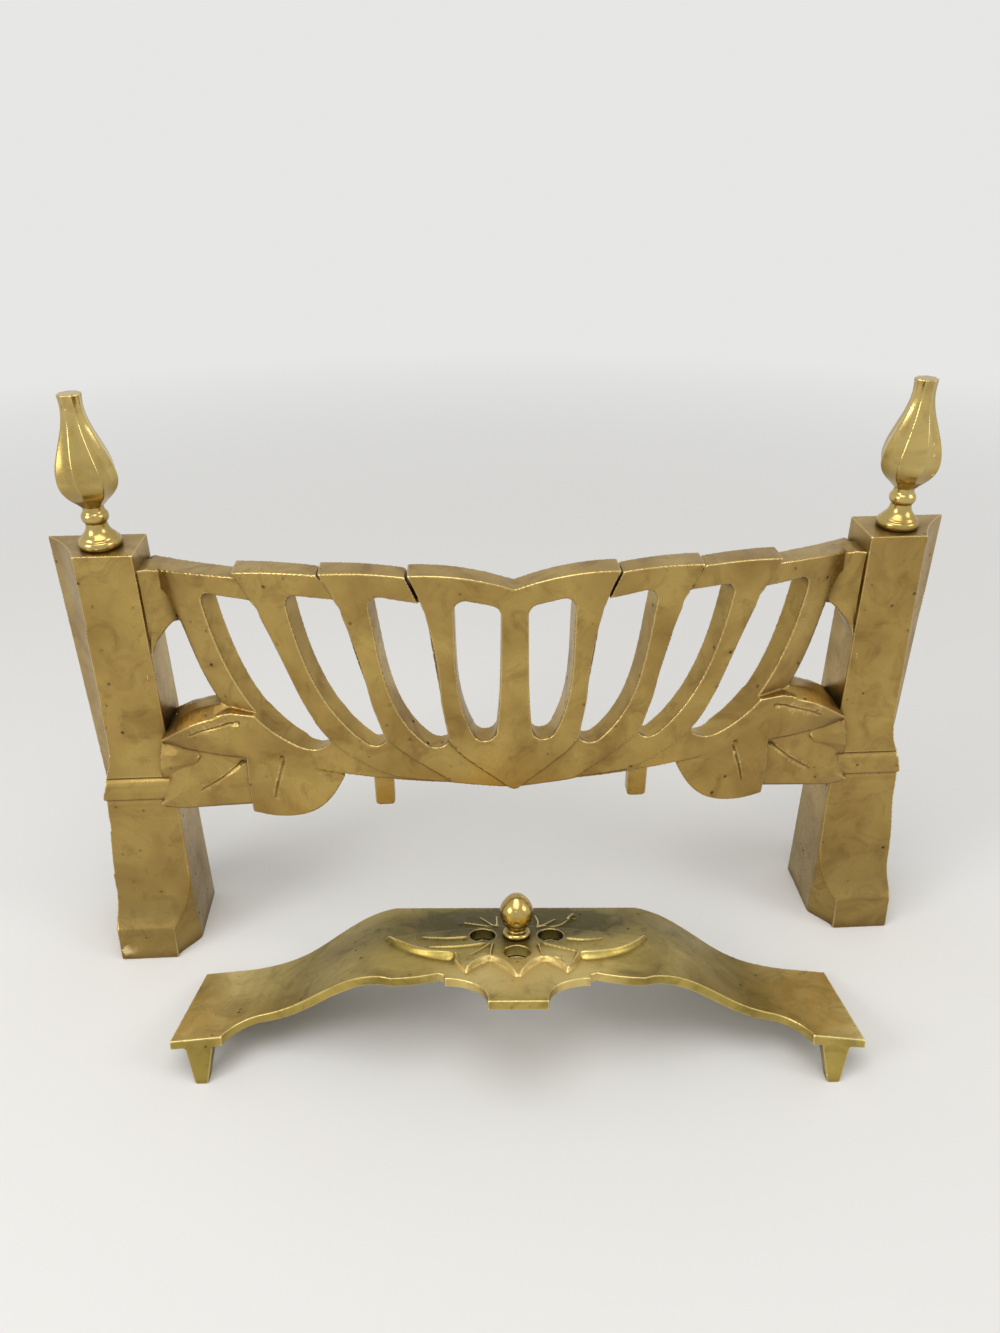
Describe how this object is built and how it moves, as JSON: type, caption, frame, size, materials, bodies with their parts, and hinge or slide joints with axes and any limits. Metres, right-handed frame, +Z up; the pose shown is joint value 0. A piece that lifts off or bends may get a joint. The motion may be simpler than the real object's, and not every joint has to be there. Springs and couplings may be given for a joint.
{
  "type": "fire grate",
  "caption": "Fireplace grate front with footed posts, flame finials, a bowed slotted grille with leaf corners, and a loose arched ash cover that carries a turning vent damper.",
  "frame": {"origin": "on the hearth, midway between the posts' outer edges and midway between the grate's back plane and the ash cover's front edge", "axes": "+X to the viewer's right across the hearth, +Y into the fireplace, +Z up; the grille faces -Y"},
  "size_m": [0.552, 0.194, 0.3765],
  "materials": {
    "aged_brass": "aged, satin, tarnished in the recesses",
    "polished_brass": "worn polish",
    "olive_brass": "dull, olive tarnish",
    "steel": "dull, dark"
  },
  "bodies": {
    "root": {"right_post": "aged_brass", "left_post": "aged_brass", "front_grille": "aged_brass", "right_locating_lug": "aged_brass", "left_locating_lug": "aged_brass", "post_screws": "steel", "post_screw_washers": "steel", "lug_screws": "steel", "right_finial": "polished_brass", "left_finial": "polished_brass", "finial_studs": "steel", "finial_nuts": "steel", "finial_washers": "steel"},
    "cover": {"ash_cover": "olive_brass", "damper_stop_pin": "steel"},
    "damper": {"damper_knob": "polished_brass", "damper_spindle": "steel", "damper_disc": "olive_brass", "damper_washer": "steel", "damper_nut": "steel"}
  },
  "joints": [
    {"name": "cover_slide", "type": "slide", "parent": "root", "child": "cover", "axis": [0.0565, 0.9984, 0], "range_m": [-0.15, 0.08]},
    {"name": "damper_turn", "type": "hinge", "parent": "cover", "child": "damper", "pos_m": [-0.0004, -0.02519, 0.06262], "axis": [0.0165, 0.2919, 0.9563], "range_deg": [0, 45]}
  ]
}
